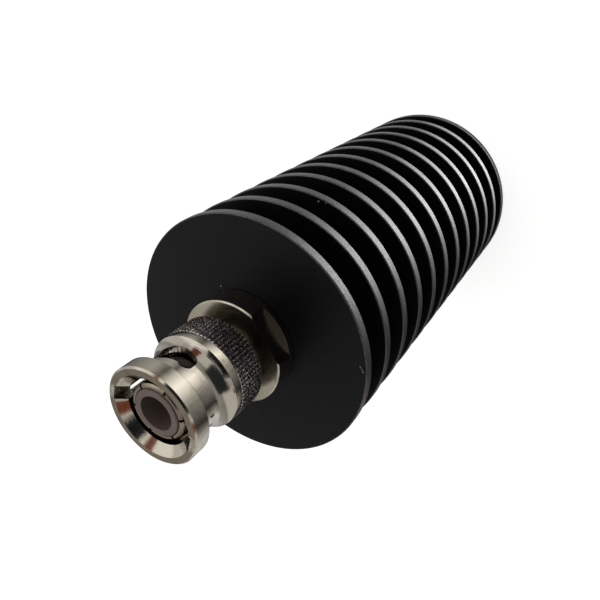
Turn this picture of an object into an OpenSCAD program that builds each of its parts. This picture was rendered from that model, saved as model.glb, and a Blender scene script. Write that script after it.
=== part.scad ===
/* [Heat sink] */
// Diameter of the disc fins
fin_d = 40; // [34:0.5:50]
// Number of disc fins
fin_count = 12; // [11:1:16]
// Thickness of one fin
fin_t = 1.6; // [1:0.1:2.4]
// Distance from one fin to the next
fin_pitch = 6.6; // [6:0.1:8]
// Diameter of the solid core between the fins
core_d = 22; // [20:0.5:28]
// Chamfer on both rims of each fin
fin_edge = 0.2; // [0.05:0.05:0.4]
// Fillet where a fin meets the core
fin_root_r = 1; // [0.3:0.1:1.6]

/* [Connector body] */
// Diameter of the round flange that is screwed down on the heat sink
flange_d = 16.8; // [16.4:0.1:19]
// Thickness of that flange
flange_t = 4; // [3:0.1:5]
// Distance across the two wrench flats
flats_w = 14.8; // [13:0.1:16]
// Thickness of the full round rim that is left behind the flats
flats_rim_t = 1; // [0.6:0.1:1.8]
// Diameter of the threaded spigot that enters the heat sink
spigot_d = 15; // [14:0.1:15.4]
// Length of the threaded spigot
spigot_len = 8; // [6:0.5:9]
// Diameter of the neck that the coupling parts run on
neck_d = 9.1; // [8.8:0.1:9.2]
// Diameter of the collar that the springs push against
collar_d = 11.2; // [10.8:0.1:11.3]
// Thickness of the collar
collar_t = 1.9; // [1.4:0.1:2.4]
// Length of the pilot in front of the collar
pilot_len = 1.9; // [1.6:0.1:2.4]
// Diameter of the air line bore through the body
line_bore_d = 6; // [5.4:0.1:6.4]

/* [Coupling nut] */
// Largest diameter of the nut, over its knurl and its front flange
nut_d = 14.5; // [14.2:0.1:16]
// Length of the nut
nut_len = 14.3; // [14:0.1:16]
// Free space between the body flange and the nut
nut_gap = 2.2; // [1.5:0.1:3]
// Length of the knurled band at the rear
knurl_len = 4.7; // [3.5:0.1:5]
// Number of knurl ridges
knurl_count = 72; // [60:2:80]
// Depth of the knurl
knurl_depth = 0.25; // [0.15:0.05:0.3]
// Diameter of the smooth band in front of the knurl
band_d = 14.3; // [14:0.1:15]
// Length of the smooth band
band_len = 1.3; // [0.8:0.1:1.6]
// Diameter of the waist
waist_d = 11.8; // [11.4:0.1:12.4]
// Radius of the fillet that flares from the waist to the band
flare_r = 3.8; // [2.5:0.1:4.5]
// Length of the front flange
front_len = 2.6; // [2:0.1:3.2]
// Bevel on the outer front edge
front_bevel = 0.25; // [0.1:0.05:0.5]
// Bore that takes the barrel of the mating jack
nut_bore_d = 9.86; // [9.78:0.02:10.2]
// Depth of the conical lead-in of that bore
cone_depth = 1.15; // [0.6:0.05:1.4]
// Diameter of the chamber that holds the springs
chamber_d = 11.8; // [11.7:0.1:12]
// Width of the shoulder in front of the chamber that can meet the collar
shoulder_bite = 0.2; // [0.15:0.05:0.3]

/* [Bayonet grooves] */
// Width of the grooves
groove_w = 2.4; // [2.1:0.05:2.6]
// Diameter of the groove floor, which breaks out through the waist
groove_d = 12.8; // [12.5:0.1:13.2]
// Angle at which the first groove opens in the front face
entry_angle = 131; // [120:0.5:140]
// Distance of the entry's flat floor from the axis at the front face
entry_mouth = 6.2; // [5.9:0.05:6.4]
// The same distance behind the front flange, where the floor just nicks the waist
entry_floor = 5.86; // [5.6:0.02:5.88]
// Turn from the entry to where the groove breaks out through the waist
through_turn = 41.5; // [34:0.5:50]
// Turn from the entry to the locking notch
lock_turn = 91; // [86:1:96]
// Distance of the groove's centre line behind the front face at the entry
entry_depth = 3.95; // [3.5:0.05:4.2]
// The same distance on the level stretch ahead of the locking notch
crest_depth = 6.1; // [5.8:0.05:6.4]
// Height by which the locking notch steps back towards the front
notch_step = 0.35; // [0.2:0.05:0.6]

/* [Coupling springs] */
// Distance of the retaining ring from the rear end of the nut
ring_inset = 1; // [0.7:0.1:1.4]
// Thickness of the retaining ring
ring_t = 0.8; // [0.6:0.05:1]
// Depth of the ring groove in the chamber wall
ring_bite = 0.45; // [0.3:0.05:0.6]
// Angle of the gap in the retaining ring
ring_gap_angle = 34; // [15:1:60]
// Thickness of the thrust washer
washer_t = 0.4; // [0.3:0.05:0.6]
// Height of one wave washer at rest
wave_h = 0.5; // [0.45:0.05:0.7]
// Sheet thickness of a wave washer
wave_t = 0.18; // [0.12:0.02:0.25]
// Number of waves round a washer
wave_count = 3; // [3:1:5]

/* [Contacts] */
// Outside diameter of the slotted outer contact
contact_d = 8.4; // [8.2:0.05:8.6]
// Outside diameter of its fingers behind the contact bead
finger_d = 8.1; // [7.9:0.05:8.2]
// Wall thickness of the fingers
finger_t = 0.42; // [0.35:0.01:0.45]
// Number of slits in the outer contact
slit_count = 6; // [4:2:8]
// Width of one slit
slit_w = 0.4; // [0.25:0.05:0.6]
// Angle of the first slit
slit_angle = 31; // [0:1:60]
// Distance of the fingers' ends behind the front of the nut
contact_setback = 1.1; // [0.8:0.1:1.5]
// Thickness of the interface gasket
gasket_t = 0.8; // [0.6:0.1:1.2]
// Width of the pilot's bare end round the gasket
pilot_rim = 0.3; // [0.2:0.05:0.35]
// Outside diameter of the front insulator
insulator_d = 7; // [6.8:0.05:7.1]
// Bore of the insulator's tube
insulator_bore_d = 5.1; // [4.9:0.05:5.3]
// Depth of the insulator's tube
insulator_bore_len = 5.4; // [5:0.1:5.8]
// Distance by which the insulator stands out of the fingers
insulator_proud = 0.2; // [0:0.05:0.4]
// Diameter of the pin that enters the jack
pin_d = 1.35; // [1.32:0.01:1.38]
// Distance of the pin's tip behind the insulator's front
pin_setback = 2.4; // [1.8:0.1:3]
// Diameter of the conductor in the air line
line_d = 2.6; // [2.3:0.1:2.8]
// Diameter of the rear insulator bead
bead_d = 9; // [8:0.1:10]
// Thickness of the rear insulator bead
bead_t = 4; // [3:0.1:5]

/* [Load] */
// Diameter of the load carrier
carrier_d = 14; // [13.6:0.1:14.4]
// Length of the load carrier
carrier_len = 35; // [30:1:38]
// Length of the flat that is milled at its front end
seat_len = 11; // [9:0.5:14]
// Length of the resistor flange, across the carrier
rflange_l = 12.4; // [11.8:0.1:12.6]
// Width of the resistor flange, along the carrier
rflange_w = 5; // [4.8:0.1:6]
// Thickness of the resistor flange
rflange_t = 1.2; // [0.8:0.1:1.6]
// Distance between the two flange screws
screw_span = 8.6; // [8.4:0.1:9]
// Thread diameter of the flange screws
screw_d = 2; // [1.6:0.1:2.2]
// Length of the flange screws under the head
screw_len = 2.8; // [2.2:0.1:3]
// Size of the ceramic chip across the carrier
chip_l = 4.6; // [4:0.1:4.8]
// Size of the ceramic chip along the carrier
chip_w = 4.6; // [4:0.1:4.8]
// Thickness of the ceramic chip
chip_t = 1; // [0.6:0.1:1.3]
// Thickness of the resistive film with its pads
film_t = 0.05; // [0.04:0.01:0.1]
// Thickness of the cover over the film
cover_t = 0.7; // [0.4:0.1:1]
// Thickness of the strip from the film to the centre conductor
tab_t = 0.15; // [0.1:0.01:0.2]
// Width of that strip
tab_w = 1.3; // [1:0.1:1.8]
// Thread diameter of the screw that holds the carrier
carrier_screw_d = 4; // [3:0.5:5]
// Length of that screw's thread in the heat sink
carrier_screw_grip = 7; // [5:0.5:9]

/* [Clearances] */
// Radial clearance of threads and other parts that are screwed or pressed together
seat_gap = 0.04; // [0.02:0.01:0.08]
// Clearance between the rings that slide on each other
run_gap = 0.1; // [0.05:0.01:0.15]
// Distance between the nut's shoulder and the collar at rest
shoulder_gap = 0.3; // [0.2:0.05:0.4]

/* [Hidden] */

$fn = 96;
over = 0.5; // how far a cutter runs past the face that it cuts
wave_gap = 0.02; // room that each spring washer and ring has along the axis
ring_room = 0.35; // room that rings and washers keep from the neck and from the chamber
blind_room = 1; // depth that a blind thread has left behind its screw
chip_margin = 0.25; // bare edge round the film and round its cover

// Heat sink, measured from its rear face
sink_len = (fin_count-1)*fin_pitch+fin_t;
thread_depth = spigot_len+blind_room;

// Stations of the connector, measured from the front face of the heat sink
contact_foot = 0.6; // length of the sleeve that is seated behind the collar's front
insulator_foot = 2.4; // length of the insulator behind the sleeve
pin_foot = 1.2; // length of the thin pin behind the tube's floor
nut_z0 = flange_t+nut_gap;
nut_z1 = nut_z0+nut_len;
ring_z0 = nut_z0+ring_inset;
washer_z0 = ring_z0+ring_t+run_gap;
rear_wave_z0 = washer_z0+washer_t+wave_gap;
front_wave_z0 = rear_wave_z0+wave_h+wave_gap;
collar_z0 = front_wave_z0+wave_h+wave_gap;
collar_z1 = collar_z0+collar_t;
shoulder_z = collar_z1+shoulder_gap;
pilot_z1 = collar_z1+pilot_len;
contact_z0 = collar_z1-contact_foot;
contact_z1 = nut_z1-contact_setback;
insulator_z0 = contact_z0-insulator_foot;
insulator_z1 = contact_z1+insulator_proud;
tube_z0 = insulator_z1-insulator_bore_len;
pin_z0 = tube_z0-pin_foot;
pin_z1 = insulator_z1-pin_setback;

// Radii of the connector
pilot_gap = 0.33; // room between the pilot and the nut's bore
pilot_r = nut_bore_d/2-pilot_gap;
finger_bore_r = finger_d/2-finger_t;
shank_r = 1; // radius of the conductor inside the insulator's disc
front_bore_r = insulator_d/2+seat_gap;
relief_r = collar_d/2-shoulder_bite;
ring_groove_r = chamber_d/2+ring_bite;
band_z0 = nut_z0+knurl_len;
band_z1 = band_z0+band_len;
front_z0 = nut_z1-front_len;
flare_dr = (band_d-waist_d)/2;
flare_run = sqrt(flare_r*flare_r-(flare_r-flare_dr)*(flare_r-flare_dr));

// Stations of the load, measured from the front face of the heat sink
carrier_gap = 0.3; // room between the thread bore's floor and the carrier
chip_inset = 2.3; // distance of the chip behind the carrier's front end
line_gap = 1.1; // distance from the chip to the centre conductor
pad_len = 1; // length of the metal pad that the cover leaves bare
carrier_z1 = -thread_depth-carrier_gap;
carrier_z0 = carrier_z1-carrier_len;
chip_z1 = carrier_z1-chip_inset;
chip_z0 = chip_z1-chip_w;
line_z0 = chip_z1+line_gap;
film_y = -tab_t/2;
chip_y = film_y-film_t;
rflange_y = chip_y-chip_t;
seat_y = rflange_y-rflange_t;
rflange_z = (chip_z0+chip_z1)/2;
counterbore_r = carrier_screw_d*0.9;
head_h = carrier_screw_d;
carrier_floor = 5; // thickness of copper under the head of the carrier's screw

// Disc with both rims chamfered
module chamfered_disc(r, t, c) {
    rotate_extrude()
        polygon([[0, 0], [r-c, 0], [r, c], [r, t-c], [r-c, t], [0, t]]);
}

// Tube from z0 to z1
module ring(r_in, r_out, z0, z1) {
    translate([0, 0, z0])
        difference() {
            cylinder(r = r_out, h = z1-z0);
            translate([0, 0, -over])
                cylinder(r = r_in, h = z1-z0+2*over);
        }
}

// Places its children at the front face of the heat sink
module at_front() {
    translate([0, 0, sink_len])
        children();
}

// One-piece turned heat sink: a core with its disc fins, bored from the front
module heat_sink() {
    lead_in = 0.6;
    thread_r = spigot_d/2+seat_gap;
    tapped_len = carrier_screw_grip+blind_room;
    color("#1c1c20")
        difference() {
            union() {
                cylinder(d = core_d, h = sink_len);
                for (i = [0:fin_count-1])
                    translate([0, 0, i*fin_pitch])
                        chamfered_disc(fin_d/2, fin_t, fin_edge);
                for (i = [0:fin_count-2]) {
                    translate([0, 0, i*fin_pitch+fin_t])
                        fin_root();
                    translate([0, 0, (i+1)*fin_pitch])
                        mirror([0, 0, 1])
                            fin_root();
                }
            }
            at_front() {
                translate([0, 0, -thread_depth])
                    cylinder(r = thread_r, h = thread_depth+over);
                translate([0, 0, carrier_z0])
                    cylinder(r = carrier_d/2+seat_gap, h = -carrier_z0);
                translate([0, 0, carrier_z0-tapped_len])
                    cylinder(r = carrier_screw_d/2+seat_gap, h = tapped_len+over);
                translate([0, 0, -lead_in])
                    cylinder(r1 = thread_r, r2 = thread_r+lead_in+over, h = lead_in+over);
            }
        }
}

// Fillet ring at the foot of a fin, turned round the core
module fin_root() {
    r0 = core_d/2;
    bite = 0.3;
    rotate_extrude()
        difference() {
            translate([r0-bite, 0])
                square([fin_root_r+bite, fin_root_r]);
            translate([r0+fin_root_r, fin_root_r])
                circle(r = fin_root_r);
        }
}

// Nickel-plated body: spigot, flange with two flats, neck, collar and pilot
module connector_body() {
    bevel = 0.2;
    lead = 0.8;
    relief = 0.6;
    r = flange_d/2;
    thread_r = spigot_d/2;
    color("#b9b7ae")
        at_front()
            difference() {
                rotate_extrude()
                    polygon([
                        [0, -spigot_len], [thread_r-lead, -spigot_len], [thread_r, -spigot_len+lead],
                        [thread_r, -lead-bevel], [thread_r-relief, -lead], [thread_r-relief, 0],
                        [r-bevel/2, 0], [r, bevel/2], [r, flange_t-bevel], [r-bevel, flange_t],
                        [neck_d/2, flange_t], [neck_d/2, collar_z0], [collar_d/2, collar_z0],
                        [collar_d/2, collar_z1-bevel], [collar_d/2-bevel, collar_z1],
                        [pilot_r, collar_z1], [pilot_r, pilot_z1], [0, pilot_z1]
                    ]);
                for (side = [-1, 1])
                    translate([side*(flats_w/2+r/2), 0, flats_rim_t+(flange_t+over-flats_rim_t)/2])
                        cube([r, flange_d, flange_t+over-flats_rim_t], center = true);
                translate([0, 0, -spigot_len-over])
                    cylinder(r = bead_d/2+seat_gap, h = bead_t+over);
                translate([0, 0, -spigot_len])
                    cylinder(d = line_bore_d, h = spigot_len+insulator_z0+over);
                translate([0, 0, insulator_z0])
                    cylinder(r = front_bore_r, h = pilot_z1);
                translate([0, 0, contact_z0])
                    cylinder(r = finger_d/2+seat_gap, h = pilot_z1);
            }
}

// Outline of the knurled band: a V between each two ridges
function knurl_outline(r, depth, n) =
    [for (i = [0:n-1], k = [0, 1])
        let (a = 360*(i+k/2)/n, q = k == 0 ? r : r-depth)
        [q*cos(a), q*sin(a)]];

// Profile of the nut in front of the knurl, from the axis out
function nut_profile(n = 14, rear_bevel = 0.1) = concat(
    [[0, band_z0], [band_d/2, band_z0], [band_d/2, band_z1]],
    [for (i = [0:n])
        let (z = band_z1+flare_run*i/n, dz = band_z1+flare_run-z)
        [waist_d/2+flare_r-sqrt(flare_r*flare_r-dz*dz), z]],
    [[waist_d/2, front_z0], [nut_d/2-rear_bevel, front_z0], [nut_d/2, front_z0+rear_bevel],
     [nut_d/2, nut_z1-front_bevel], [nut_d/2-front_bevel, nut_z1], [0, nut_z1]]);

// Centre line of the bayonet groove: a ramp, a level crest and the locking notch
crest_span = 14; // turn from the ramp's end to the middle of the locking notch
ramp_power = 1.6; // how the ramp flattens on its way: 1 would be an even slope
crest_turn = lock_turn-crest_span;
ramp_steps = 12;
notch_steps = 10;
half_w = groove_w/2;
crest_z = nut_z1-crest_depth;
notch_z = crest_z+notch_step;
notch_half_turn = half_w/(waist_d/2)*180/PI;
ramp_h = crest_depth-entry_depth;
ramp_len = crest_turn*PI/180*waist_d/2;
function ramp_rise(k) = ramp_h*pow(1-k, ramp_power);
function ramp_slope(k) = atan(ramp_power*ramp_h*pow(1-k, ramp_power-1)/ramp_len);
function notch_rise(k) = half_w*sqrt(1-k*k);

// Turn, rear wall and front wall at each station of the groove behind its entry
groove_stations = concat(
    [for (i = [0:ramp_steps-1])
        let (k = i/ramp_steps, z = crest_z+ramp_rise(k), w = half_w/cos(ramp_slope(k)))
        [crest_turn*k, z-w, z+w]],
    [[crest_turn, crest_z-half_w, crest_z+half_w],
     [lock_turn-notch_half_turn, crest_z-half_w, crest_z+half_w]],
    [for (i = [1-notch_steps:notch_steps-1])
        let (k = i/notch_steps, rise = notch_rise(k))
        [lock_turn+notch_half_turn*k,
         k < 0 ? crest_z-half_w-notch_step*(-1-k) : notch_z-rise,
         k < 0 ? max(crest_z+half_w, notch_z+rise) : notch_z+rise]]);

// Cutter that follows the stations, as deep as the groove's floor needs
module groove_sweep() {
    r_in = nut_bore_d/2-over;
    r_out = groove_d/2+over;
    n = len(groove_stations);
    points = [for (s = groove_stations, q = [[r_in, s[1]], [r_out, s[1]], [r_out, s[2]], [r_in, s[2]]])
        [q[0]*cos(entry_angle-s[0]), q[0]*sin(entry_angle-s[0]), q[1]]];
    walls = [for (i = [0:n-2], k = [0:3], t = [0, 1])
        let (a = 4*i+k, b = 4*i+(k+1)%4)
        t == 0 ? [a, b+4, b] : [a, a+4, b+4]];
    ends = [[0, 1, 2], [0, 2, 3], [4*n-4, 4*n-2, 4*n-3], [4*n-4, 4*n-1, 4*n-2]];
    polyhedron(points = points, faces = concat(walls, ends));
}

// Slot with a flat floor, deeper in the front flange, through which a lug enters
module groove_entry() {
    r_in = nut_bore_d/2-over;
    z0 = nut_z1-entry_depth-half_w;
    rotate([0, 0, entry_angle])
        translate([0, half_w, 0])
            rotate([90, 0, 0])
                linear_extrude(groove_w)
                    polygon([
                        [r_in, z0], [entry_floor, z0], [entry_floor, front_z0], [entry_mouth, nut_z1],
                        [entry_mouth, nut_z1+over], [r_in, nut_z1+over]
                    ]);
}

// Room that the sweep may cut: as deep as a lug needs, then right through the waist
module groove_reach() {
    floor_step = 0.14;
    spare_turn = 5;
    turn = lock_turn-through_turn+notch_half_turn+spare_turn;
    translate([0, 0, shoulder_z])
        cylinder(r = entry_floor-floor_step, h = nut_z1-shoulder_z);
    rotate([0, 0, entry_angle-through_turn-turn])
        translate([0, 0, shoulder_z])
            rotate_extrude(angle = turn)
                square([groove_d/2, nut_z1-shoulder_z]);
}

module bayonet_groove() {
    groove_entry();
    intersection() {
        groove_reach();
        groove_sweep();
    }
}

// Coupling nut: knurl, band, flare, waist and front flange round two bayonet grooves
module coupling_nut() {
    knurl_bevel = 0.45;
    mouth_len = cone_depth+over;
    color("#c2bfb4")
        at_front()
            difference() {
                union() {
                    intersection() {
                        translate([0, 0, nut_z0])
                            linear_extrude(knurl_len)
                                polygon(knurl_outline(nut_d/2, knurl_depth, knurl_count));
                        translate([0, 0, nut_z0])
                            chamfered_disc(nut_d/2+knurl_bevel/3, knurl_len, knurl_bevel);
                    }
                    rotate_extrude()
                        polygon(nut_profile());
                }
                translate([0, 0, nut_z0-over])
                    cylinder(d = chamber_d, h = shoulder_z-nut_z0+over);
                translate([0, 0, nut_z0])
                    cylinder(d = nut_bore_d, h = nut_len+over);
                translate([0, 0, nut_z0])
                    cylinder(r = relief_r, h = crest_z-nut_z0);
                translate([0, 0, ring_z0-wave_gap])
                    cylinder(r = ring_groove_r, h = ring_t+2*wave_gap);
                translate([0, 0, nut_z1-cone_depth])
                    cylinder(d1 = nut_bore_d, d2 = nut_bore_d+2*mouth_len, h = mouth_len);
                for (side = [0, 180])
                    rotate([0, 0, side])
                        bayonet_groove();
            }
}

// Open ring that snaps into the nut's groove behind the springs
module retaining_ring() {
    r_out = ring_groove_r-seat_gap;
    r_in = neck_d/2+ring_room;
    color("#8f8d86")
        at_front()
            difference() {
                ring(r_in, r_out, ring_z0, ring_z0+ring_t);
                rotate([0, 0, -90-ring_gap_angle/2])
                    translate([0, 0, ring_z0-over])
                        rotate_extrude(angle = ring_gap_angle)
                            square([r_out+over, ring_t+2*over]);
            }
}

// Flat washer between the turning ring and the springs
module thrust_washer() {
    color("#a9a69c")
        at_front()
            ring(neck_d/2+ring_room, chamber_d/2-ring_room, washer_z0, washer_z0+washer_t);
}

// Ring of spring sheet bent into waves, from height z0 to z0+wave_h
module wave_washer(z0, phase) {
    n = 72;
    r_in = neck_d/2+ring_room;
    r_out = chamber_d/2-ring_room;
    lift = (wave_h-wave_t)/2;
    function zc(i) = z0+wave_h/2+lift*cos(wave_count*360*i/n+phase);
    points = [for (i = [0:n-1], q = [[r_in, -1], [r_out, -1], [r_out, 1], [r_in, 1]])
        [q[0]*cos(360*i/n), q[0]*sin(360*i/n), zc(i)+q[1]*wave_t/2]];
    faces = [for (i = [0:n-1], k = [0:3])
        let (j = (i+1)%n, m = (k+1)%4)
        [4*i+k, 4*i+m, 4*j+m, 4*j+k]];
    tris = [for (f = faces, t = [[0, 1, 2], [0, 2, 3]]) [f[t[0]], f[t[1]], f[t[2]]]];
    polyhedron(points = points, faces = tris);
}

module rear_wave_washer() {
    color("#7d7a70")
        at_front()
            wave_washer(rear_wave_z0, 0);
}

module front_wave_washer() {
    color("#868378")
        at_front()
            wave_washer(front_wave_z0, 180);
}

// Seal that the end of the mating jack presses on
module interface_gasket() {
    color("#5b5550")
        at_front()
            ring(finger_d/2+seat_gap, pilot_r-pilot_rim, pilot_z1, pilot_z1+gasket_t);
}

// Spring sleeve with slit fingers and a contact bead near their ends
module outer_contact() {
    bead_len = 0.96;
    bead_ramp = 0.64;
    nose = 0.25;
    slit_z0 = pilot_z1+gasket_t+seat_gap;
    bead_z0 = contact_z1-bead_len;
    color("#b3afa3")
        at_front()
            difference() {
                rotate_extrude()
                    polygon([
                        [finger_bore_r, contact_z0], [finger_d/2, contact_z0],
                        [finger_d/2, bead_z0-bead_ramp], [contact_d/2, bead_z0],
                        [contact_d/2, contact_z1-nose], [contact_d/2-nose, contact_z1],
                        [finger_bore_r, contact_z1]
                    ]);
                for (i = [0:slit_count/2-1])
                    rotate([0, 0, slit_angle+360*i/slit_count])
                        translate([-contact_d/2-over, -slit_w/2, slit_z0])
                            cube([contact_d+2*over, slit_w, contact_z1-slit_z0+over]);
            }
}

// White plastic insulator: a tube in front, a disc round the conductor behind
module front_insulator() {
    lip = 0.12;
    r = insulator_d/2;
    color("#a49c96")
        at_front()
            difference() {
                rotate_extrude()
                    polygon([
                        [0, insulator_z0], [r, insulator_z0], [r, insulator_z1-lip],
                        [r-lip, insulator_z1], [0, insulator_z1]
                    ]);
                translate([0, 0, insulator_z0-over])
                    cylinder(r = shank_r+seat_gap, h = insulator_z1-insulator_z0);
                translate([0, 0, tube_z0])
                    cylinder(d = insulator_bore_d, h = insulator_bore_len+over);
            }
}

// Bead that centres the conductor in the mouth of the spigot
module rear_insulator() {
    color("#e8e4dc")
        at_front()
            ring(line_d/2+seat_gap, bead_d/2, -spigot_len, -spigot_len+bead_t);
}

// Gold-plated centre conductor, pin in front and slot for the strip behind
module centre_pin() {
    tip = pin_d/2;
    n = 8;
    bevel = 0.2;
    slot_len = 1.8;
    color("#c9a24a")
        at_front()
            difference() {
                rotate_extrude()
                    polygon(concat(
                        [[0, line_z0], [line_d/2-bevel, line_z0], [line_d/2, line_z0+bevel],
                         [line_d/2, insulator_z0], [shank_r, insulator_z0], [shank_r, pin_z0],
                         [tip, pin_z0]],
                        [for (i = [0:n])
                            [tip*cos(90*i/n), pin_z1-tip+tip*sin(90*i/n)]]));
                translate([-line_d/2-over, -tab_t/2-seat_gap, line_z0-over])
                    cube([line_d+2*over, tab_t+2*seat_gap, slot_len+over]);
            }
}

// Copper slug with a milled seat for the resistor and a deep hole for its screw
module load_carrier() {
    r = carrier_d/2;
    bevel = 0.4;
    hole_room = 0.2;
    color("#b4764a")
        at_front()
            difference() {
                translate([0, 0, carrier_z0])
                    chamfered_disc(r, carrier_len, bevel);
                translate([-r-over, seat_y, carrier_z1-seat_len])
                    cube([carrier_d+2*over, carrier_d, seat_len+over]);
                translate([0, 0, carrier_z0+carrier_floor])
                    cylinder(r = counterbore_r, h = carrier_len-seat_len-carrier_floor+over/2);
                translate([0, 0, carrier_z0-over])
                    cylinder(r = carrier_screw_d/2+hole_room, h = carrier_floor+2*over);
                for (side = [-1, 1])
                    flange_screw_place(side)
                        translate([0, 0, -screw_len-hole_room])
                            cylinder(r = screw_d/2+seat_gap, h = screw_len);
            }
}

// Socket-head screw that pulls the carrier against the floor of its bore
module carrier_screw() {
    d = carrier_screw_d;
    head_room = 0.15;
    bevel = 0.2;
    socket_z = head_h*0.45;
    z = carrier_z0+carrier_floor;
    color("#6f6f72")
        at_front()
            difference() {
                union() {
                    translate([0, 0, z])
                        chamfered_disc(counterbore_r-head_room, head_h, bevel);
                    translate([0, 0, z-carrier_floor-carrier_screw_grip])
                        cylinder(d = d, h = carrier_floor+carrier_screw_grip+over);
                }
                translate([0, 0, z+socket_z])
                    cylinder(d = d*0.85, h = head_h, $fn = 6);
            }
}

// Metal flange of the resistor, open at both ends for its screws
module resistor_flange() {
    slot_room = 0.15;
    color("#c7a76b")
        at_front()
            difference() {
                translate([-rflange_l/2, seat_y, rflange_z-rflange_w/2])
                    cube([rflange_l, rflange_t, rflange_w]);
                for (side = [-1, 1]) {
                    flange_screw_place(side)
                        translate([0, 0, -rflange_t-over])
                            cylinder(r = screw_d/2+slot_room, h = rflange_t+2*over);
                    translate([side*(screw_span/2+rflange_l/4), seat_y+rflange_t/2, rflange_z])
                        cube([rflange_l/2, rflange_t+2*over, screw_d+2*slot_room], center = true);
                }
            }
}

// Places its children on a flange screw's axis, at the top of the flange
module flange_screw_place(side) {
    translate([side*screw_span/2, rflange_y, rflange_z])
        rotate([-90, 0, 0])
            children();
}

// Pan-head screw with a cross recess
module flange_screw(side) {
    head_r = screw_d*0.85;
    screw_head_h = screw_d*0.65;
    bevel = 0.25;
    recess_w = 0.4;
    recess_l = head_r*1.1;
    color("#9a9a9c")
        at_front()
            flange_screw_place(side)
                difference() {
                    union() {
                        chamfered_disc(head_r, screw_head_h, bevel);
                        translate([0, 0, -screw_len])
                            cylinder(d = screw_d, h = screw_len+bevel);
                    }
                    for (a = [0, 90])
                        rotate([0, 0, a])
                            translate([-recess_l/2, -recess_w/2, screw_head_h*0.4])
                                cube([recess_l, recess_w, screw_head_h]);
                }
}

module left_flange_screw() {
    flange_screw(-1);
}

module right_flange_screw() {
    flange_screw(1);
}

// Ceramic chip that carries the film
module resistor_chip() {
    color("#e9e6df")
        at_front()
            translate([-chip_l/2, rflange_y, chip_z0])
                cube([chip_l, chip_t, chip_w]);
}

// Resistive film between two metal pads
module resistor_film() {
    m = chip_margin;
    color("#3b3734")
        at_front()
            translate([-chip_l/2+m, chip_y, chip_z0+m])
                cube([chip_l-2*m, film_t, chip_w-2*m]);
}

// Ceramic cover glued over the film, clear of the front pad
module chip_cover() {
    m = chip_margin;
    color("#f1efe9")
        at_front()
            translate([-chip_l/2+m, film_y, chip_z0+m])
                cube([chip_l-2*m, cover_t, chip_w-pad_len-2*m]);
}

// Silver strip from the front pad into the slot of the centre conductor
module resistor_tab() {
    reach = 1.4;
    color("#d8d6d0")
        at_front()
            translate([-tab_w/2, -tab_t/2, chip_z1-pad_len])
                cube([tab_w, tab_t, pad_len+line_gap+reach]);
}

heat_sink();
connector_body();
coupling_nut();
retaining_ring();
thrust_washer();
rear_wave_washer();
front_wave_washer();
interface_gasket();
outer_contact();
front_insulator();
rear_insulator();
centre_pin();
load_carrier();
carrier_screw();
resistor_flange();
left_flange_screw();
right_flange_screw();
resistor_chip();
resistor_film();
chip_cover();
resistor_tab();
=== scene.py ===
"""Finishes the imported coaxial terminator: surfaces, fine edges, wear, stage and camera."""

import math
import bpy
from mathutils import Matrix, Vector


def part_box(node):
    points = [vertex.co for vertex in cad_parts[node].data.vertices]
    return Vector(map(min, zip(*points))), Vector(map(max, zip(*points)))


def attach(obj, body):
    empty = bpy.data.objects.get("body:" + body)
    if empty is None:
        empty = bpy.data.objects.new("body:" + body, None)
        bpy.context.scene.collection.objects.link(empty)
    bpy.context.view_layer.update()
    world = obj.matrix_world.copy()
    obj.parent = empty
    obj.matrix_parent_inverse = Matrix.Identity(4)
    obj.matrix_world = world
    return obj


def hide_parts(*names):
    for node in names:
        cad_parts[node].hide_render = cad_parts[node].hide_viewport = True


bl_info = {
    "name": "Coaxial terminator",
    "version": (1, 0, 0),
    "blender": (4, 5, 0),
    "location": "3D View > Sidebar > Terminator",
    "description": "Dresses the terminator's solids in their real finishes and sets up the studio",
    "category": "Object",
}

import bmesh
import bpy
from bpy.props import FloatProperty, FloatVectorProperty, IntProperty, PointerProperty
from mathutils import Matrix, Vector

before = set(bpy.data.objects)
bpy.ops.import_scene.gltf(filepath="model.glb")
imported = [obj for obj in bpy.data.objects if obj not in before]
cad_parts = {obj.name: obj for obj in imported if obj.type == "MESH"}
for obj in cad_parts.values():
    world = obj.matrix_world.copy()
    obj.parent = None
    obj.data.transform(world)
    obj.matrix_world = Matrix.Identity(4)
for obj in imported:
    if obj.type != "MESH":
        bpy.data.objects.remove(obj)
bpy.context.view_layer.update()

MM = 0.001
TAU = 2 * math.pi
# Top of the heat sink's first fin and front end of the coupling nut, from the solids themselves
FACE_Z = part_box("heat_sink")[1][2]
NUT_Z0, NUT_Z1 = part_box("coupling_nut")[0][2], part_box("coupling_nut")[1][2]
FIN_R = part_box("heat_sink")[1][0]
FLANGE_Z = NUT_Z1 - 2.6 * MM


def linear(hex_colour):
    """An sRGB hex colour as linear red, green and blue."""
    values = [int(hex_colour[i : i + 2], 16) / 255 for i in (1, 3, 5)]
    return tuple(v / 12.92 if v <= 0.04045 else ((v + 0.055) / 1.055) ** 2.4 for v in values)


def rgba(colour):
    return (*tuple(colour)[:3], 1.0)


def size(name, text, default_mm):
    """A length property, given in millimetres and kept in metres."""
    return FloatProperty(name=name, description=text, default=default_mm * MM, unit="LENGTH", precision=5)


def tint(name, text, hex_colour):
    return FloatVectorProperty(
        name=name, description=text, default=linear(hex_colour), size=3, min=0, max=1, subtype="COLOR"
    )


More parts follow.
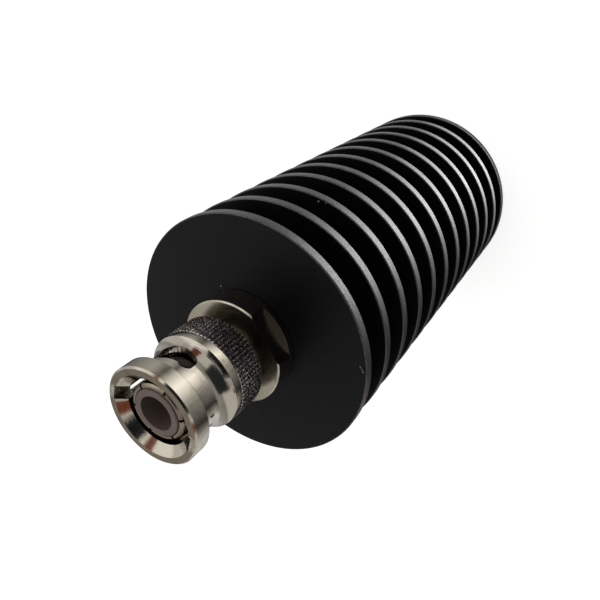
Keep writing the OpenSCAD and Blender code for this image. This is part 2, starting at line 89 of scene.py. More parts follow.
class TerminatorSizes(bpy.types.PropertyGroup):
    """Sizes of the pieces and of their surface detail."""

    fin_count: IntProperty(name="Fins", description="Number of disc fins", default=12, min=2)
    fin_pitch: size("Fin pitch", "Distance from one fin to the next", 6.6)
    fin_t: size("Fin thickness", "Thickness of one fin", 1.6)
    core_r: size("Core radius", "Radius of the core between the fins", 11)
    rim_round: size("Rim edge", "Rounding of both edges of a fin's rim", 0.2)
    root_round: size("Fin root", "Fillet at the foot of a fin", 1.0)
    thread_r: size("Thread bore", "Radius of the bore for the plug's spigot", 7.54)
    thread_depth: size("Thread depth", "Depth of that bore", 9)
    carrier_r: size("Load bore", "Radius of the bore for the load carrier", 7.04)
    carrier_depth: size("Load bore depth", "Depth of that bore from the first fin's face", 44.3)
    tapped_r: size("Tapped hole", "Radius of the hole for the carrier's screw", 2.04)
    tapped_depth: size("Tapped hole depth", "Depth of that hole from the first fin's face", 52.3)
    knurl_pitch: size("Knurl points", "Distance between the bright points along a knurl ridge", 0.52)
    knurl_len: size("Knurl length", "Length of the knurled band", 4.7)
    lathe_pitch: size("Lathe marks", "Distance between the lathe marks that show on the plug", 0.16)
    grain: size("Blast grain", "Size of the grain on the black surfaces", 0.14)
    camera_lens: FloatProperty(name="Lens", description="Focal length in millimetres", default=34.903)


class TerminatorColours(bpy.types.PropertyGroup):
    """Colours of the finishes."""

    anodised: tint("Black anodising", "Dyed oxide on the flat faces", "#09090C")
    rim: tint("Fin rims", "Thinner oxide on the turned rims", "#616163")
    worn: tint("Worn oxide", "Brownish oxide where a rim has rubbed", "#6B5A4A")
    nickel: tint("Nickel", "Nickel plating on the plug", "#A49D90")
    nickel_dull: tint("Dull nickel", "Plating that has tarnished in corners", "#7C7566")
    contact: tint("Worn plating", "Plating on the sleeve's fingers, rubbed brownish by jacks", "#857A6C")
    knurl_dirt_and_shade: tint("Knurl dirt", "Dark film between the points of the knurl", "#45434A")
    # Dirt and painted shade: the colour that darkens the knurl between its bright points
    insulator: tint("Insulator", "Fluoropolymer that has greyed", "#7B6D66")
    gold: tint("Gold", "Gold plating on the centre conductor", "#D9A94A")
    steel: tint("Spring steel", "Rings and washers under the nut", "#8B8880")
    brass: tint("Brass", "Load carrier", "#B08D4F")
    rubber: tint("Silicone", "Gasket in the plug", "#4A4440")
    floor: tint("Floor", "Paper that the terminator stands on", "#F4F3F1")


def add(tree, kind, inputs=None, out=0, **settings):
    """Adds a node with its settings, links or sets its inputs, and gives back one of its outputs."""
    node = tree.nodes.new(kind)
    for name, value in settings.items():
        setattr(node, name, value)
    for name, value in (inputs or {}).items():
        if isinstance(value, bpy.types.NodeSocket):
            tree.links.new(value, node.inputs[name])
        else:
            node.inputs[name].default_value = value
    return node.outputs[out] if node.outputs else node


def new_material(name):
    """An empty material with its place on the object, its height and its distance from the axis."""
    material = bpy.data.materials.new(name)
    material.use_nodes = True
    tree = material.node_tree
    tree.nodes.clear()
    place = add(tree, "ShaderNodeTexCoord", out="Object")
    height = add(tree, "ShaderNodeSeparateXYZ", {0: place}, out="Z")
    flat = add(tree, "ShaderNodeVectorMath", {0: place, 1: (1, 1, 0)}, operation="MULTIPLY")
    radius = add(tree, "ShaderNodeVectorMath", {0: flat}, out="Value", operation="LENGTH")
    return material, tree, place, height, radius


def zone(tree, value, low, high, soft):
    """1 between low and high, 0 outside, with soft ends."""
    rise = add(tree, "ShaderNodeMapRange", {0: value, 1: low - soft, 2: low})
    fall = add(tree, "ShaderNodeMapRange", {0: value, 1: high, 2: high + soft})
    return add(tree, "ShaderNodeMath", {0: rise, 1: fall}, operation="SUBTRACT", use_clamp=True)


def rings(tree, value, pitch):
    """Turned rings of that pitch, from 0 in the groove to 1 on the crest."""
    turn = add(tree, "ShaderNodeMath", {0: value, 1: TAU / pitch}, operation="MULTIPLY")
    wave = add(tree, "ShaderNodeMath", {0: turn}, operation="SINE")
    return add(tree, "ShaderNodeMath", {0: wave, 1: 0.5, 2: 0.5}, operation="MULTIPLY_ADD")


def patch(tree, place, at, reach, squash=1.0):
    """1 at a place on the surface, 0 past its reach; squash shortens it along the axis."""
    away = add(tree, "ShaderNodeVectorMath", {0: place, 1: at}, operation="SUBTRACT")
    away = add(tree, "ShaderNodeVectorMath", {0: away, 1: (1, 1, squash)}, operation="MULTIPLY")
    far = add(tree, "ShaderNodeVectorMath", {0: away}, out="Value", operation="LENGTH")
    return add(tree, "ShaderNodeMapRange", {0: far, 1: reach, 2: reach * 0.5})


def finish_surface(tree, colour, roughness, metallic, height, depth, **constants):
    """Principled surface with a bump of that depth in metres."""
    bump = add(tree, "ShaderNodeBump", {"Height": height, "Distance": depth, "Strength": 1.0})
    inputs = {"Base Color": colour, "Roughness": roughness, "Metallic": metallic, "Normal": bump}
    inputs.update({name.replace("_", " "): value for name, value in constants.items()})
    shader = add(tree, "ShaderNodeBsdfPrincipled", inputs)
    add(tree, "ShaderNodeOutputMaterial", {"Surface": shader})


def on_fin(turn_deg, radius, z):
    """A place given by its turn round the axis, its radius and its height."""
    turn = math.radians(turn_deg)
    return (radius * math.cos(turn), radius * math.sin(turn), z)


def black_anodised(sizes, colours):
    """Black anodised aluminium: a dyed, sealed oxide that leaves the turned faces deep black with a
    dull silk sheen, while the rims' coarser turning breaks the light into grey grain."""
    material, tree, place, height, radius = new_material("black_anodised_aluminium")
    black, rim_grey = rgba(colours.anodised), rgba(colours.rim)
    rim = add(tree, "ShaderNodeMapRange", {0: radius, 1: FIN_R - 0.26 * MM, 2: FIN_R - 0.1 * MM})
    grain = add(tree, "ShaderNodeTexNoise", {"Vector": place, "Scale": 1 / sizes.grain, "Detail": 4.0})
    drawn = add(tree, "ShaderNodeVectorMath", {0: place, 1: (1, 1, 5)}, operation="MULTIPLY")
    streaks = add(
        tree, "ShaderNodeTexNoise", {"Vector": drawn, "Scale": 1 / (sizes.grain * 2.2), "Detail": 2.0}
    )
    cloud = add(tree, "ShaderNodeTexNoise", {"Vector": place, "Scale": 1 / (9 * MM), "Detail": 2.0})
    cloud = add(tree, "ShaderNodeMapRange", {0: cloud, 1: 0.35, 2: 0.75})
    tone = add(
        tree, "ShaderNodeMix", {0: cloud, 6: black, 7: [c * 1.4 for c in black]}, out=2, data_type="RGBA"
    )
    # The rims' grain: dark pits in a grey skin
    pitted = add(tree, "ShaderNodeMapRange", {0: streaks, 1: 0.36, 2: 0.62})
    rim_tone = add(
        tree, "ShaderNodeMix", {0: pitted, 6: [c * 0.45 for c in rim_grey], 7: rim_grey},
        out=2, data_type="RGBA",
    )
    tone = add(tree, "ShaderNodeMix", {0: rim, 6: tone, 7: rim_tone}, out=2, data_type="RGBA")
    # Worn stretch low on the first fin's rim, where brownish metal shows between islands of oxide
    wear = patch(tree, place, on_fin(314, FIN_R, FACE_Z - 0.2 * MM), 4.6 * MM, 2.5)
    islands = add(tree, "ShaderNodeMapRange", {0: streaks, 1: 0.46, 2: 0.56})
    wear = add(tree, "ShaderNodeMath", {0: wear, 1: islands}, operation="MULTIPLY")
    wear = add(tree, "ShaderNodeMath", {0: wear, 1: rim}, operation="MULTIPLY")
    tone = add(tree, "ShaderNodeMix", {0: wear, 6: tone, 7: rgba(colours.worn)}, out=2, data_type="RGBA")
    # A fine scratch and its end low on the front face
    scratch = patch(tree, place, (16.9 * MM, -9.2 * MM, FACE_Z), 0.75 * MM)
    line = zone(tree, add(tree, "ShaderNodeSeparateXYZ", {0: place}), 16.86 * MM, 16.9 * MM, 0.05 * MM)
    scratch = add(tree, "ShaderNodeMath", {0: scratch, 1: line}, operation="MULTIPLY")
    tone = add(
        tree, "ShaderNodeMix", {0: scratch, 6: tone, 7: rgba(linear("#8C8A86"))}, out=2, data_type="RGBA"
    )
    # Dust: sparse pale points, most of them lost in the black
    dots = add(tree, "ShaderNodeTexVoronoi", {"Vector": place, "Scale": 1 / (3.1 * MM)})
    dust = add(tree, "ShaderNodeMapRange", {0: dots, 1: 0.03, 2: 0.018})
    rare = add(tree, "ShaderNodeSeparateColor", {0: dots.node.outputs["Color"]})
    rare = add(tree, "ShaderNodeMapRange", {0: rare, 1: 0.86, 2: 0.9, 4: 0.3})
    dust = add(tree, "ShaderNodeMath", {0: dust, 1: rare}, operation="MULTIPLY")
    tone = add(
        tree, "ShaderNodeMix", {0: dust, 6: tone, 7: rgba(linear("#9A9894"))}, out=2, data_type="RGBA"
    )
    metallic = add(tree, "ShaderNodeMath", {0: rim, 1: 0.9}, operation="MULTIPLY")
    rough = add(tree, "ShaderNodeMath", {0: grain, 1: 0.16, 2: 0.3}, operation="MULTIPLY_ADD")
    turned = rings(tree, radius, 0.34 * MM)
    bumps = add(tree, "ShaderNodeMath", {0: turned, 1: 0.1, 2: grain}, operation="MULTIPLY_ADD")
    bumps = add(tree, "ShaderNodeMath", {0: pitted, 1: 0.5, 2: bumps}, operation="MULTIPLY_ADD")
    finish_surface(tree, tone, rough, metallic, bumps, 0.016 * MM, Specular_IOR_Level=0.08)
    return material


def nickel_plate(sizes, colours, name, polish):
    """Bright nickel on turned brass: a warm silver mirror that fine lathe marks smear along the
    axis, with cloudy tarnish and a few small pits. Gives back what a finish may still change."""
    material, tree, place, height, radius = new_material(name)
    turned = add(tree, "ShaderNodeCombineXYZ", {"X": radius, "Y": 0.0, "Z": height})
    marks = add(
        tree, "ShaderNodeTexNoise",
        {"Vector": turned, "Scale": 1 / sizes.lathe_pitch, "Detail": 3.0, "Roughness": 0.7},
    )
    cloud = add(tree, "ShaderNodeTexNoise", {"Vector": place, "Scale": 1 / (2.2 * MM), "Detail": 4.0})
    pits = add(tree, "ShaderNodeTexVoronoi", {"Vector": place, "Scale": 1 / (0.9 * MM)})
    pits = add(tree, "ShaderNodeMapRange", {0: pits, 1: 0.085, 2: 0.05})
    dull = add(tree, "ShaderNodeMapRange", {0: cloud, 1: 0.5, 2: 0.8})
    tone = add(
        tree, "ShaderNodeMix", {0: dull, 6: rgba(colours.nickel), 7: rgba(colours.nickel_dull)},
        out=2, data_type="RGBA",
    )
    pitted = add(tree, "ShaderNodeMath", {0: pits, 1: 0.6}, operation="MULTIPLY")
    tone = add(
        tree, "ShaderNodeMix", {0: pitted, 6: tone, 7: rgba(linear("#4A463E"))}, out=2, data_type="RGBA"
    )
    bumps = add(tree, "ShaderNodeMath", {0: marks, 1: 0.5}, operation="MULTIPLY")
    bumps = add(tree, "ShaderNodeMath", {0: pits, 1: -0.5, 2: bumps}, operation="MULTIPLY_ADD")
    rough = add(tree, "ShaderNodeMath", {0: cloud, 1: 0.08, 2: polish}, operation="MULTIPLY_ADD")
    return material, tree, place, height, radius, tone, rough, bumps


def plain_nickel(sizes, colours, name, polish, colour=None):
    """Nickel with nothing on it but its tarnish, or worn to one colour."""
    material, tree, place, height, radius, tone, rough, bumps = nickel_plate(sizes, colours, name, polish)
    if colour:
        tone = add(tree, "ShaderNodeMix", {0: 0.8, 6: tone, 7: colour}, out=2, data_type="RGBA")
    finish_surface(tree, tone, rough, 1.0, bumps, 0.008 * MM, Anisotropic=0.3)
    return material


def nut_nickel(sizes, colours):
    """The coupling nut's nickel: dirt and painted shade between the knurl's points, a painted
    shadow line in the corner behind the front flange, and rough cutter marks on the floors of the two entries."""
    material, tree, place, height, radius, tone, rough, bumps = nickel_plate(
        sizes, colours, "nickel_plate_turned", 0.1
    )
    top = NUT_Z0 + sizes.knurl_len
    knurl = zone(tree, height, NUT_Z0 - 1 * MM, top - 0.22 * MM, 0.06 * MM)
    outside = add(tree, "ShaderNodeMapRange", {0: radius, 1: 6.9 * MM, 2: 6.95 * MM})
    knurl = add(tree, "ShaderNodeMath", {0: knurl, 1: outside}, operation="MULTIPLY")
    # Points along each ridge, a little uneven, as the wheel left them
    drift = add(tree, "ShaderNodeTexNoise", {"Vector": place, "Scale": 1 / (0.6 * MM), "Detail": 1.0})
    shifted = add(
        tree, "ShaderNodeMath", {0: drift, 1: 3.5 * sizes.knurl_pitch, 2: height}, operation="MULTIPLY_ADD"
    )
    points = rings(tree, shifted, sizes.knurl_pitch)
    crest = add(tree, "ShaderNodeMapRange", {0: radius, 1: 7.03 * MM, 2: 7.14 * MM})
    bright = add(tree, "ShaderNodeMath", {0: crest, 1: points}, operation="MULTIPLY")
    # Dirt and painted shade: between its bright points the knurl is darkened, for the dark that the ridge flanks
    # mirror and for dirt in the valleys
    dirt_and_shade = add(tree, "ShaderNodeMapRange", {0: bright, 1: 0.8, 2: 0.5})
    dirt_and_shade = add(tree, "ShaderNodeMath", {0: dirt_and_shade, 1: knurl}, operation="MULTIPLY")
    dirt_and_shade = add(tree, "ShaderNodeMath", {0: dirt_and_shade, 1: 0.93}, operation="MULTIPLY")
    tone = add(tree, "ShaderNodeMix", {0: dirt_and_shade, 6: tone, 7: rgba(colours.knurl_dirt_and_shade)}, out=2, data_type="RGBA")
    rough = add(tree, "ShaderNodeMath", {0: dirt_and_shade, 1: 0.14, 2: rough}, operation="MULTIPLY_ADD")
    toothed = add(tree, "ShaderNodeMath", {0: points, 1: knurl}, operation="MULTIPLY")
    bumps = add(tree, "ShaderNodeMath", {0: toothed, 1: 6.0, 2: bumps}, operation="MULTIPLY_ADD")
    # Painted shadow: a dark line in the corner behind the front flange
    corner = zone(tree, height, FLANGE_Z - 0.09 * MM, FLANGE_Z + 0.05 * MM, 0.03 * MM)
    tone = add(
        tree, "ShaderNodeMix", {0: corner, 6: tone, 7: rgba(linear("#3A352C"))}, out=2, data_type="RGBA"
    )
    # Cutter marks on the floors of the two entries
    speckle = add(tree, "ShaderNodeTexNoise", {"Vector": place, "Scale": 1 / (0.22 * MM), "Detail": 2.0})
    for turn in (131, 311):
        floor_marks = patch(tree, place, on_fin(turn, 6.0 * MM, NUT_Z1 - 1.6 * MM), 1.9 * MM, 0.7)
        floor_marks = add(tree, "ShaderNodeMath", {0: floor_marks, 1: speckle}, operation="MULTIPLY")
        bumps = add(tree, "ShaderNodeMath", {0: floor_marks, 1: 14.0, 2: bumps}, operation="MULTIPLY_ADD")
    finish_surface(tree, tone, rough, 1.0, bumps, 0.008 * MM, Anisotropic=0.3)
    return material


def insulator_plastic(colours):
    """Turned fluoropolymer that has greyed: waxy, with faint rings and painted shade darkening its bore."""
    material, tree, place, height, radius = new_material("fluoropolymer_aged")
    pale = rgba(colours.insulator)
    cloud = add(tree, "ShaderNodeTexNoise", {"Vector": place, "Scale": 1 / (1.6 * MM), "Detail": 4.0})
    clouded = add(tree, "ShaderNodeMapRange", {0: cloud, 1: 0.4, 2: 0.8})
    tone = add(
        tree, "ShaderNodeMix", {0: clouded, 6: pale, 7: [c * 0.8 for c in pale]}, out=2, data_type="RGBA"
    )
    # Painted shade: the wall of the bore is darkened, for the shade inside it
    bore = add(tree, "ShaderNodeMapRange", {0: radius, 1: 2.62 * MM, 2: 2.5 * MM, 4: 0.3})
    tone = add(
        tree, "ShaderNodeMix", {0: bore, 6: tone, 7: rgba(linear("#463C37"))}, out=2, data_type="RGBA"
    )
    across = add(tree, "ShaderNodeMath", {0: radius, 1: height}, operation="ADD")
    turned = rings(tree, across, 0.3 * MM)
    bumps = add(tree, "ShaderNodeMath", {0: turned, 1: 0.3, 2: cloud}, operation="MULTIPLY_ADD")
    rough = add(tree, "ShaderNodeMath", {0: cloud, 1: 0.2, 2: 0.42}, operation="MULTIPLY_ADD")
    finish_surface(tree, tone, rough, 0.0, bumps, 0.01 * MM, Specular_IOR_Level=0.25, Subsurface_Weight=0.15, Subsurface_Scale=0.6 * MM)
    return material


def plain_finish(name, colour, roughness, metallic, grain, depth, mottle=0.7, stretch=(1, 1, 1)):
    """A finish with grain of one real size: mottled in colour, uneven in gloss, and bumped."""
    material, tree, place, height, radius = new_material(name)
    colour = rgba(colour)
    place = add(tree, "ShaderNodeVectorMath", {0: place, 1: stretch}, operation="MULTIPLY")
    fine = add(tree, "ShaderNodeTexNoise", {"Vector": place, "Scale": 1 / grain, "Detail": 4.0})
    broad = add(tree, "ShaderNodeTexNoise", {"Vector": place, "Scale": 1 / (12 * grain), "Detail": 3.0})
    broad = add(tree, "ShaderNodeMapRange", {0: broad, 1: 0.35, 2: 0.75})
    tone = add(
        tree, "ShaderNodeMix", {0: broad, 6: colour, 7: [c * mottle for c in colour]},
        out=2, data_type="RGBA",
    )
    rough = add(tree, "ShaderNodeMath", {0: fine, 1: 0.15, 2: roughness}, operation="MULTIPLY_ADD")
    finish_surface(tree, tone, rough, metallic, fine, depth)
    return material


def give(material, *nodes):
    """Puts a material on CAD nodes, in the place of every slot that they have."""
    for name in nodes:
        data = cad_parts[name].data
        data.materials.clear()
        data.materials.append(material)


def new_piece(name, bm, body, slot, *materials):
    """Turns a bmesh into a piece that rides on a body."""
    bmesh.ops.recalc_face_normals(bm, faces=bm.faces)
    mesh = bpy.data.meshes.new(name)
    bm.to_mesh(mesh)
    bm.free()
    for material in materials:
        mesh.materials.append(material)
    piece = bpy.data.objects.new(name, mesh)
    bpy.context.scene.collection.objects.link(piece)
    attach(piece, body)
    return piece


def spin_profile(bm, points, steps):
    """Turns a profile of radius and height points once round the axis."""
    verts = [bm.verts.new((r, 0, z)) for r, z in points]
    edges = [bm.edges.new(pair) for pair in zip(verts, verts[1:])]
    bmesh.ops.spin(
        bm, geom=verts + edges, cent=(0, 0, 0), axis=(0, 0, 1), angle=TAU, steps=steps, use_merge=True
    )
    bmesh.ops.remove_doubles(bm, verts=bm.verts, dist=1e-7)


def ring_edges(bm, test):
    """Edges that run round the axis and pass a test of their radius and height."""
    found = []
    for edge in bm.edges:
        a, b = (v.co for v in edge.verts)
        if abs(a.z - b.z) < 1e-7 and abs(a.xy.length - b.xy.length) < 1e-6 and a.xy.length > 1e-6:
            if test(a.xy.length, a.z):
                found.append(edge)
    return found


class TERMINATOR_OT_heat_sink(bpy.types.Operator):
    """Turn the black heat sink with rounded rims, filleted fin roots and a nicked first fin"""

    bl_idname = "terminator.heat_sink"
    bl_label = "Heat sink"

    def execute(self, context):
        s, c = context.scene.terminator_sizes, context.scene.terminator_colours
        fin_r = FIN_R - 0.01 * MM
        points = [(0, 0)]
        for i in range(s.fin_count):
            z = i * s.fin_pitch
            points += [(fin_r, z), (fin_r, z + s.fin_t)]
            if i < s.fin_count - 1:
                points += [(s.core_r, z + s.fin_t), (s.core_r, z + s.fin_pitch)]
        top = points[-1][1]
        points += [
            (s.thread_r, top),
            (s.thread_r, top - s.thread_depth),
            (s.carrier_r, top - s.thread_depth),
            (s.carrier_r, top - s.carrier_depth),
            (s.tapped_r, top - s.carrier_depth),
            (s.tapped_r, top - s.tapped_depth),
            (0, top - s.tapped_depth),
        ]
        bm = bmesh.new()
        spin_profile(bm, points, 192)
        rims = ring_edges(bm, lambda r, z: r > fin_r - 1e-5)
        bmesh.ops.bevel(bm, geom=rims, offset=s.rim_round, segments=3, profile=0.5, affect="EDGES", material=-1)
        roots = ring_edges(bm, lambda r, z: abs(r - s.core_r) < 1e-5)
        bmesh.ops.bevel(bm, geom=roots, offset=s.root_round, segments=4, profile=0.5, affect="EDGES", material=-1)
        dent_rim(bm, fin_r, top)
        piece = new_piece("fin_body", bm, "body", "anodised_aluminium", black_anodised(s, c))
        smooth_piece(piece)
        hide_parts("heat_sink")
        return {"FINISHED"}


def dent_rim(bm, fin_r, top):
    """Pushes in the small nick on the first fin's front edge."""
    turn = math.radians(331)
    centre = Vector((fin_r * math.cos(turn), fin_r * math.sin(turn), top - 0.3 * MM))
    reach = 0.75 * MM
    for v in bm.verts:
        away = (v.co - centre).length
        if away < reach:
            push = 0.16 * MM * (1 - away / reach)
            v.co.xy *= 1 - push / v.co.xy.length
            v.co.z -= push * 0.5


def smooth_piece(piece, angle=40):
    """Smooth shading inside flat-looking faces, with large faces ruling the normals."""
    piece.data.shade_smooth()
    piece.data.set_sharp_from_angle(angle=math.radians(angle))
    weighted = piece.modifiers.new("even_normals", "WEIGHTED_NORMAL")
    weighted.keep_sharp = True


class TERMINATOR_OT_plug(bpy.types.Operator):
    """Plate the body, the slit sleeve and the washer, and gild the centre conductor"""

    bl_idname = "terminator.plug"
    bl_label = "Plug body and contacts"

    def execute(self, context):
        s, c = context.scene.terminator_sizes, context.scene.terminator_colours
        give(plain_nickel(s, c, "nickel_plate_polished", 0.2), "connector_body", "thrust_washer")
        give(plain_nickel(s, c, "nickel_plate_worn", 0.24, rgba(c.contact)), "outer_contact")
        give(
            plain_finish("gold_plate", c.gold, 0.18, 1.0, 0.2 * MM, 0.004 * MM, 0.8),
            "centre_pin", "resistor_flange",
        )
        return {"FINISHED"}


class TERMINATOR_OT_coupling(bpy.types.Operator):
    """Plate the coupling nut, darken its knurl and finish the springs under it"""

    bl_idname = "terminator.coupling"
    bl_label = "Coupling nut and springs"

    def execute(self, context):
        s, c = context.scene.terminator_sizes, context.scene.terminator_colours
        give(nut_nickel(s, c), "coupling_nut")
        steel = plain_finish("spring_steel", c.steel, 0.3, 1.0, 0.15 * MM, 0.006 * MM, 0.75)
        give(steel, "retaining_ring", "rear_wave_washer", "front_wave_washer")
        return {"FINISHED"}


class TERMINATOR_OT_dielectrics(bpy.types.Operator):
    """Finish the insulators and the gasket"""

    bl_idname = "terminator.dielectrics"
    bl_label = "Insulators and gasket"

    def execute(self, context):
        c = context.scene.terminator_colours
        give(insulator_plastic(c), "front_insulator")
        give(
            plain_finish("fluoropolymer_new", linear("#E2DED6"), 0.5, 0.0, 0.4 * MM, 0.01 * MM, 0.92),
            "rear_insulator",
        )
        give(plain_finish("silicone_rubber", c.rubber, 0.62, 0.0, 0.12 * MM, 0.012 * MM, 0.8), "interface_gasket")
        return {"FINISHED"}


class TERMINATOR_OT_load(bpy.types.Operator):
    """Finish the load inside the heat sink"""

    bl_idname = "terminator.load"
    bl_label = "Load"

    def execute(self, context):
        c = context.scene.terminator_colours
        give(
            plain_finish("turned_brass", c.brass, 0.28, 1.0, 0.2 * MM, 0.008 * MM, 0.8, (1, 1, 5)),
            "load_carrier",
        )
        give(plain_finish("blackened_steel", linear("#2B2B2D"), 0.4, 0.8, 0.1 * MM, 0.01 * MM), "carrier_screw")
        give(
            plain_finish("zinc_plated_steel", linear("#A6A7AB"), 0.3, 1.0, 0.1 * MM, 0.006 * MM, 0.8),
            "left_flange_screw", "right_flange_screw",
        )
        give(
            plain_finish("alumina_ceramic", linear("#ECE9E2"), 0.45, 0.0, 0.08 * MM, 0.006 * MM, 0.93),
            "resistor_chip", "chip_cover",
        )
        give(plain_finish("resistive_film", linear("#38342F"), 0.5, 0.0, 0.06 * MM, 0.004 * MM), "resistor_film")
        give(plain_finish("silver_strip", linear("#DAD8D2"), 0.2, 1.0, 0.1 * MM, 0.004 * MM, 0.9), "resistor_tab")
        return {"FINISHED"}


class TERMINATOR_OT_dust(bpy.types.Operator):
    """Set the few lint specks that lie on the heat sink and the flange"""

    bl_idname = "terminator.dust"
    bl_label = "Dust specks"

    def execute(self, context):
        material = plain_finish("lint", linear("#B9B7B2"), 0.9, 0.0, 0.05 * MM, 0.01 * MM, 0.8)
        fin = context.scene.terminator_sizes.fin_pitch
        bm = bmesh.new()
        for x, y, z, r in (
            (1.07, 9.0, FACE_Z, 0.10),
            (14.32, 13.01, FACE_Z - 2 * fin, 0.12),
            (15.34, 12.31, FACE_Z - 2 * fin, 0.07),
            (16.9, -8.7, FACE_Z, 0.07),
            (16.85, -9.6, FACE_Z, 0.06),
        ):
            made = bmesh.ops.create_icosphere(bm, subdivisions=2, radius=r * MM)
            for v in made["verts"]:
                v.co.z *= 0.5
                v.co.x *= 1.4
            bmesh.ops.translate(bm, verts=made["verts"], vec=(x * MM, y * MM, z + 0.3 * r * MM))
        piece = new_piece("dust_specks", bm, "body", "anodised_aluminium", material)
        piece.data.shade_smooth()
        return {"FINISHED"}


def studio_floor(colours):
    """White paper: shows white to the lens, keeps the shadow, and shows in the metal."""
    material = bpy.data.materials.new("studio_paper")
    material.use_nodes = True
    tree = material.node_tree
    tree.nodes.clear()
    rays = add(tree, "ShaderNodeLightPath").node.outputs
    seen = add(
        tree, "ShaderNodeMath", {0: rays["Is Camera Ray"], 1: rays["Is Transmission Ray"]}, operation="MAXIMUM"
    )
    seen = add(
        tree, "ShaderNodeMath", {0: rays["Is Glossy Ray"], 1: 0.3, 2: seen}, operation="MULTIPLY_ADD"
    )
    strength = add(tree, "ShaderNodeMath", {0: seen, 1: 0.75}, operation="MULTIPLY")
    paper = add(tree, "ShaderNodeBsdfDiffuse", {"Color": rgba(colours.floor)})
    glow = add(tree, "ShaderNodeEmission", {"Color": (1, 1, 1, 1), "Strength": strength})
    both = add(tree, "ShaderNodeAddShader", {0: paper, 1: glow})
    add(tree, "ShaderNodeOutputMaterial", {"Surface": both})
    return material


def area_light(name, place, aim, width, height, power, colour=(1, 1, 1)):
    data = bpy.data.lights.new(name, "AREA")
    data.shape, data.size, data.size_y = "RECTANGLE", width, height
    data.energy, data.color = power, colour
    lamp = bpy.data.objects.new(name, data)
    lamp.location = place
    lamp.rotation_euler = (Vector(aim) - Vector(place)).to_track_quat("-Z", "Y").to_euler()
    bpy.context.scene.collection.objects.link(lamp)
    return lamp


def show_card(name, bm, glow):
    """Stands a card on the stage that only reflections see."""
    mesh = bpy.data.meshes.new(name)
    bm.to_mesh(mesh)
    bm.free()
    material = bpy.data.materials.new(name)
    material.use_nodes = True
    tree = material.node_tree
    tree.nodes.clear()
    add(tree, "ShaderNodeOutputMaterial", {"Surface": glow(tree)})
    mesh.materials.append(material)
    card = bpy.data.objects.new(name, mesh)
    bpy.context.scene.collection.objects.link(card)
    card.visible_camera = card.visible_diffuse = card.visible_shadow = card.visible_transmission = False


def sky_card(name, turn_deg, rise_deg, width, height, colour):
    """A matt card in the air, facing the nut from a quarter of a metre away."""
    rise = math.radians(rise_deg)
    middle = Vector((0, 0, NUT_Z1))
    place = middle + Vector(on_fin(turn_deg, 0.25 * math.cos(rise), 0.25 * math.sin(rise)))
    facing = (middle - place).to_track_quat("Z", "Y").to_matrix().to_4x4()
    bm = bmesh.new()
    bmesh.ops.create_grid(bm, x_segments=1, y_segments=1, size=0.5)
    bmesh.ops.scale(bm, verts=bm.verts, vec=(width, height, 1))
    bmesh.ops.transform(bm, matrix=Matrix.Translation(place) @ facing, verts=bm.verts)
    show_card(name, bm, lambda tree: add(tree, "ShaderNodeEmission", {"Color": rgba(colour), "Strength": 1.0}))


def floor_card(name, inner, outer, levels):
    """A ring on the floor whose brightness follows the turn round the axis: (degrees, level) pairs."""
    bm = bmesh.new()
    edge = [bm.verts.new((r, 0, 0.0004)) for r in (inner, outer)]
    bmesh.ops.spin(
        bm, geom=[bm.edges.new(edge)], cent=(0, 0, 0), axis=(0, 0, 1), angle=TAU, steps=72, use_merge=True
    )

    def glow(tree):
        place = add(tree, "ShaderNodeTexCoord", out="Object")
        x = add(tree, "ShaderNodeSeparateXYZ", {0: place})
        turn = add(tree, "ShaderNodeMath", {0: x.node.outputs["Y"], 1: x}, operation="ARCTAN2")
        turn = add(tree, "ShaderNodeMapRange", {0: turn, 1: -math.pi, 2: math.pi})
        shade = add(tree, "ShaderNodeValToRGB", {0: turn})
        stops = shade.node.color_ramp
        for k, (degrees, level) in enumerate(levels):
            at = (degrees + 180) / 360
            stop = stops.elements[k] if k < 2 else stops.elements.new(at)
            stop.position, stop.color = at, (level, level, level, 1)
        return add(tree, "ShaderNodeEmission", {"Color": shade, "Strength": 1.0})

    show_card(name, bm, glow)


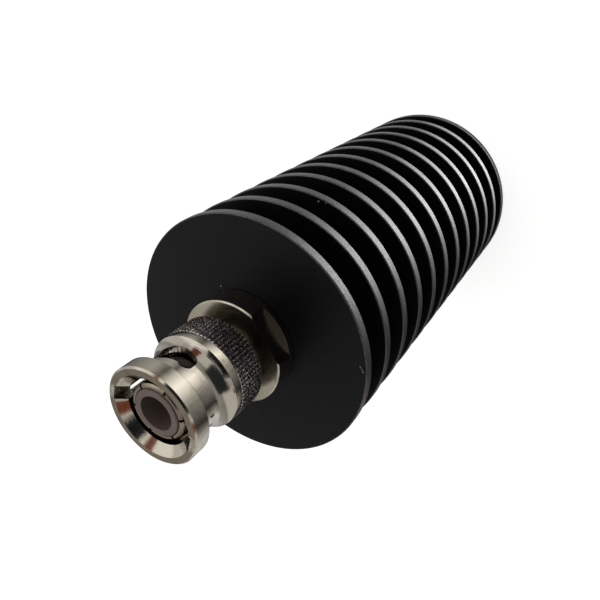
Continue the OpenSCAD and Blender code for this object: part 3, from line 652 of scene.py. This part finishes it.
class TERMINATOR_OT_stage(bpy.types.Operator):
    """Lay the paper floor, hang the lamps and place the camera as the photograph had it"""

    bl_idname = "terminator.stage"
    bl_label = "Floor, lamps and camera"

    def execute(self, context):
        s, c = context.scene.terminator_sizes, context.scene.terminator_colours
        bm = bmesh.new()
        bmesh.ops.create_grid(bm, x_segments=1, y_segments=1, size=3.0)
        bmesh.ops.translate(bm, verts=bm.verts, vec=(0, 0, -0.0002))
        mesh = bpy.data.meshes.new("floor")
        bm.to_mesh(mesh)
        bm.free()
        mesh.materials.append(studio_floor(c))
        floor = bpy.data.objects.new("floor", mesh)
        context.scene.collection.objects.link(floor)

        world = bpy.data.worlds.new("studio")
        world.use_nodes = True
        tree = world.node_tree
        tree.nodes.clear()
        rays = add(tree, "ShaderNodeLightPath").node.outputs
        seen = rays["Is Camera Ray"]
        for kind in ("Is Glossy Ray", "Is Transmission Ray"):
            seen = add(tree, "ShaderNodeMath", {0: seen, 1: rays[kind]}, operation="MAXIMUM")
        level = add(tree, "ShaderNodeMath", {0: seen, 1: 0.78, 2: 0.22}, operation="MULTIPLY_ADD")
        sky = add(tree, "ShaderNodeBackground", {"Color": (1, 1, 1, 1), "Strength": level})
        add(tree, "ShaderNodeOutputWorld", {"Surface": sky})
        context.scene.world = world

        area_light("top_box", (-0.1, 0.25, 0.6), (0, 0, 0.05), 0.9, 0.9, 1.6)

        # Cards that only reflections see. Upright walls mirror the floor: the inner ring draws the
        # bright streak down the fins' rims, the outer one the bands round the nut.
        floor_card(
            "rim_card", 21 * MM, 95 * MM,
            [(-150, 0.4), (-105, 0.08), (-58, 0.08), (-28, 1.2), (2, 7.2), (34, 3.4), (60, 0.75), (160, 0.65)],
        )
        floor_card(
            "nut_card", 96 * MM, 200 * MM,
            [(-160, 0.3), (-105, 1.2), (-62, 0.05), (-10, 0.6), (28, 2.6), (68, 0.2), (92, 0.8), (165, 0.15)],
        )
        # The nut's mouth and its front ring look up into dark, red-brown and grey cards
        for name, turn, rise, width, height, colour in (
            ("dark_card", 10, 50, 0.26, 0.14, "#1F2729"),
            ("high_card", 10, 72, 0.14, 0.08, "#1A2426"),
            ("flare_card", -14, 8, 0.33, 0.22, "#343C3D"),
            ("flank_card", 64, 6, 0.09, 0.2, "#7E4434"),
            ("brown_card", -72, 47, 0.11, 0.11, "#93503D"),
            ("warm_card", 82, 54, 0.07, 0.1, "#93503D"),
            ("grey_card", -164, 30, 0.13, 0.075, "#A09B92"),
        ):
            sky_card(name, turn, rise, width, height, linear(colour))

        data = bpy.data.cameras.new("camera")
        data.lens, data.sensor_width = s.camera_lens, 36
        data.clip_start, data.clip_end = 0.005, 20
        camera = bpy.data.objects.new("camera", data)
        right = Vector((0.72118, -0.47099, -0.50801))
        up = Vector((0.26985, 0.86639, -0.42017))
        back = Vector((0.63803, 0.16594, 0.75192))
        turned = Matrix((right, up, back)).transposed().to_4x4()
        camera.matrix_world = Matrix.Translation((0.06352, 0.01595, 0.13353)) @ turned
        context.scene.collection.objects.link(camera)
        context.scene.camera = camera
        context.scene.view_settings.view_transform = "Standard"
        return {"FINISHED"}


class TERMINATOR_PT_panel(bpy.types.Panel):
    """Buttons and values of the terminator."""

    bl_idname = "TERMINATOR_PT_panel"
    bl_label = "Coaxial terminator"
    bl_space_type = "VIEW_3D"
    bl_region_type = "UI"
    bl_category = "Terminator"

    def draw(self, context):
        column = self.layout.column(align=True)
        for operator in OPERATORS:
            column.operator(operator.bl_idname)
        for group in (context.scene.terminator_sizes, context.scene.terminator_colours):
            box = self.layout.box()
            for name in group.__annotations__:
                box.prop(group, name)


OPERATORS = (
    TERMINATOR_OT_heat_sink,
    TERMINATOR_OT_plug,
    TERMINATOR_OT_coupling,
    TERMINATOR_OT_dielectrics,
    TERMINATOR_OT_load,
    TERMINATOR_OT_dust,
    TERMINATOR_OT_stage,
)
CLASSES = (TerminatorSizes, TerminatorColours, *OPERATORS, TERMINATOR_PT_panel)


def register():
    for cls in CLASSES:
        bpy.utils.register_class(cls)
    bpy.types.Scene.terminator_sizes = PointerProperty(type=TerminatorSizes)
    bpy.types.Scene.terminator_colours = PointerProperty(type=TerminatorColours)


def unregister():
    del bpy.types.Scene.terminator_colours
    del bpy.types.Scene.terminator_sizes
    for cls in reversed(CLASSES):
        bpy.utils.unregister_class(cls)


def main():
    register()
    bpy.ops.terminator.heat_sink()
    bpy.ops.terminator.plug()
    bpy.ops.terminator.coupling()
    bpy.ops.terminator.dielectrics()
    bpy.ops.terminator.load()
    bpy.ops.terminator.dust()
    bpy.ops.terminator.stage()


if __name__ == "__main__":
    main()
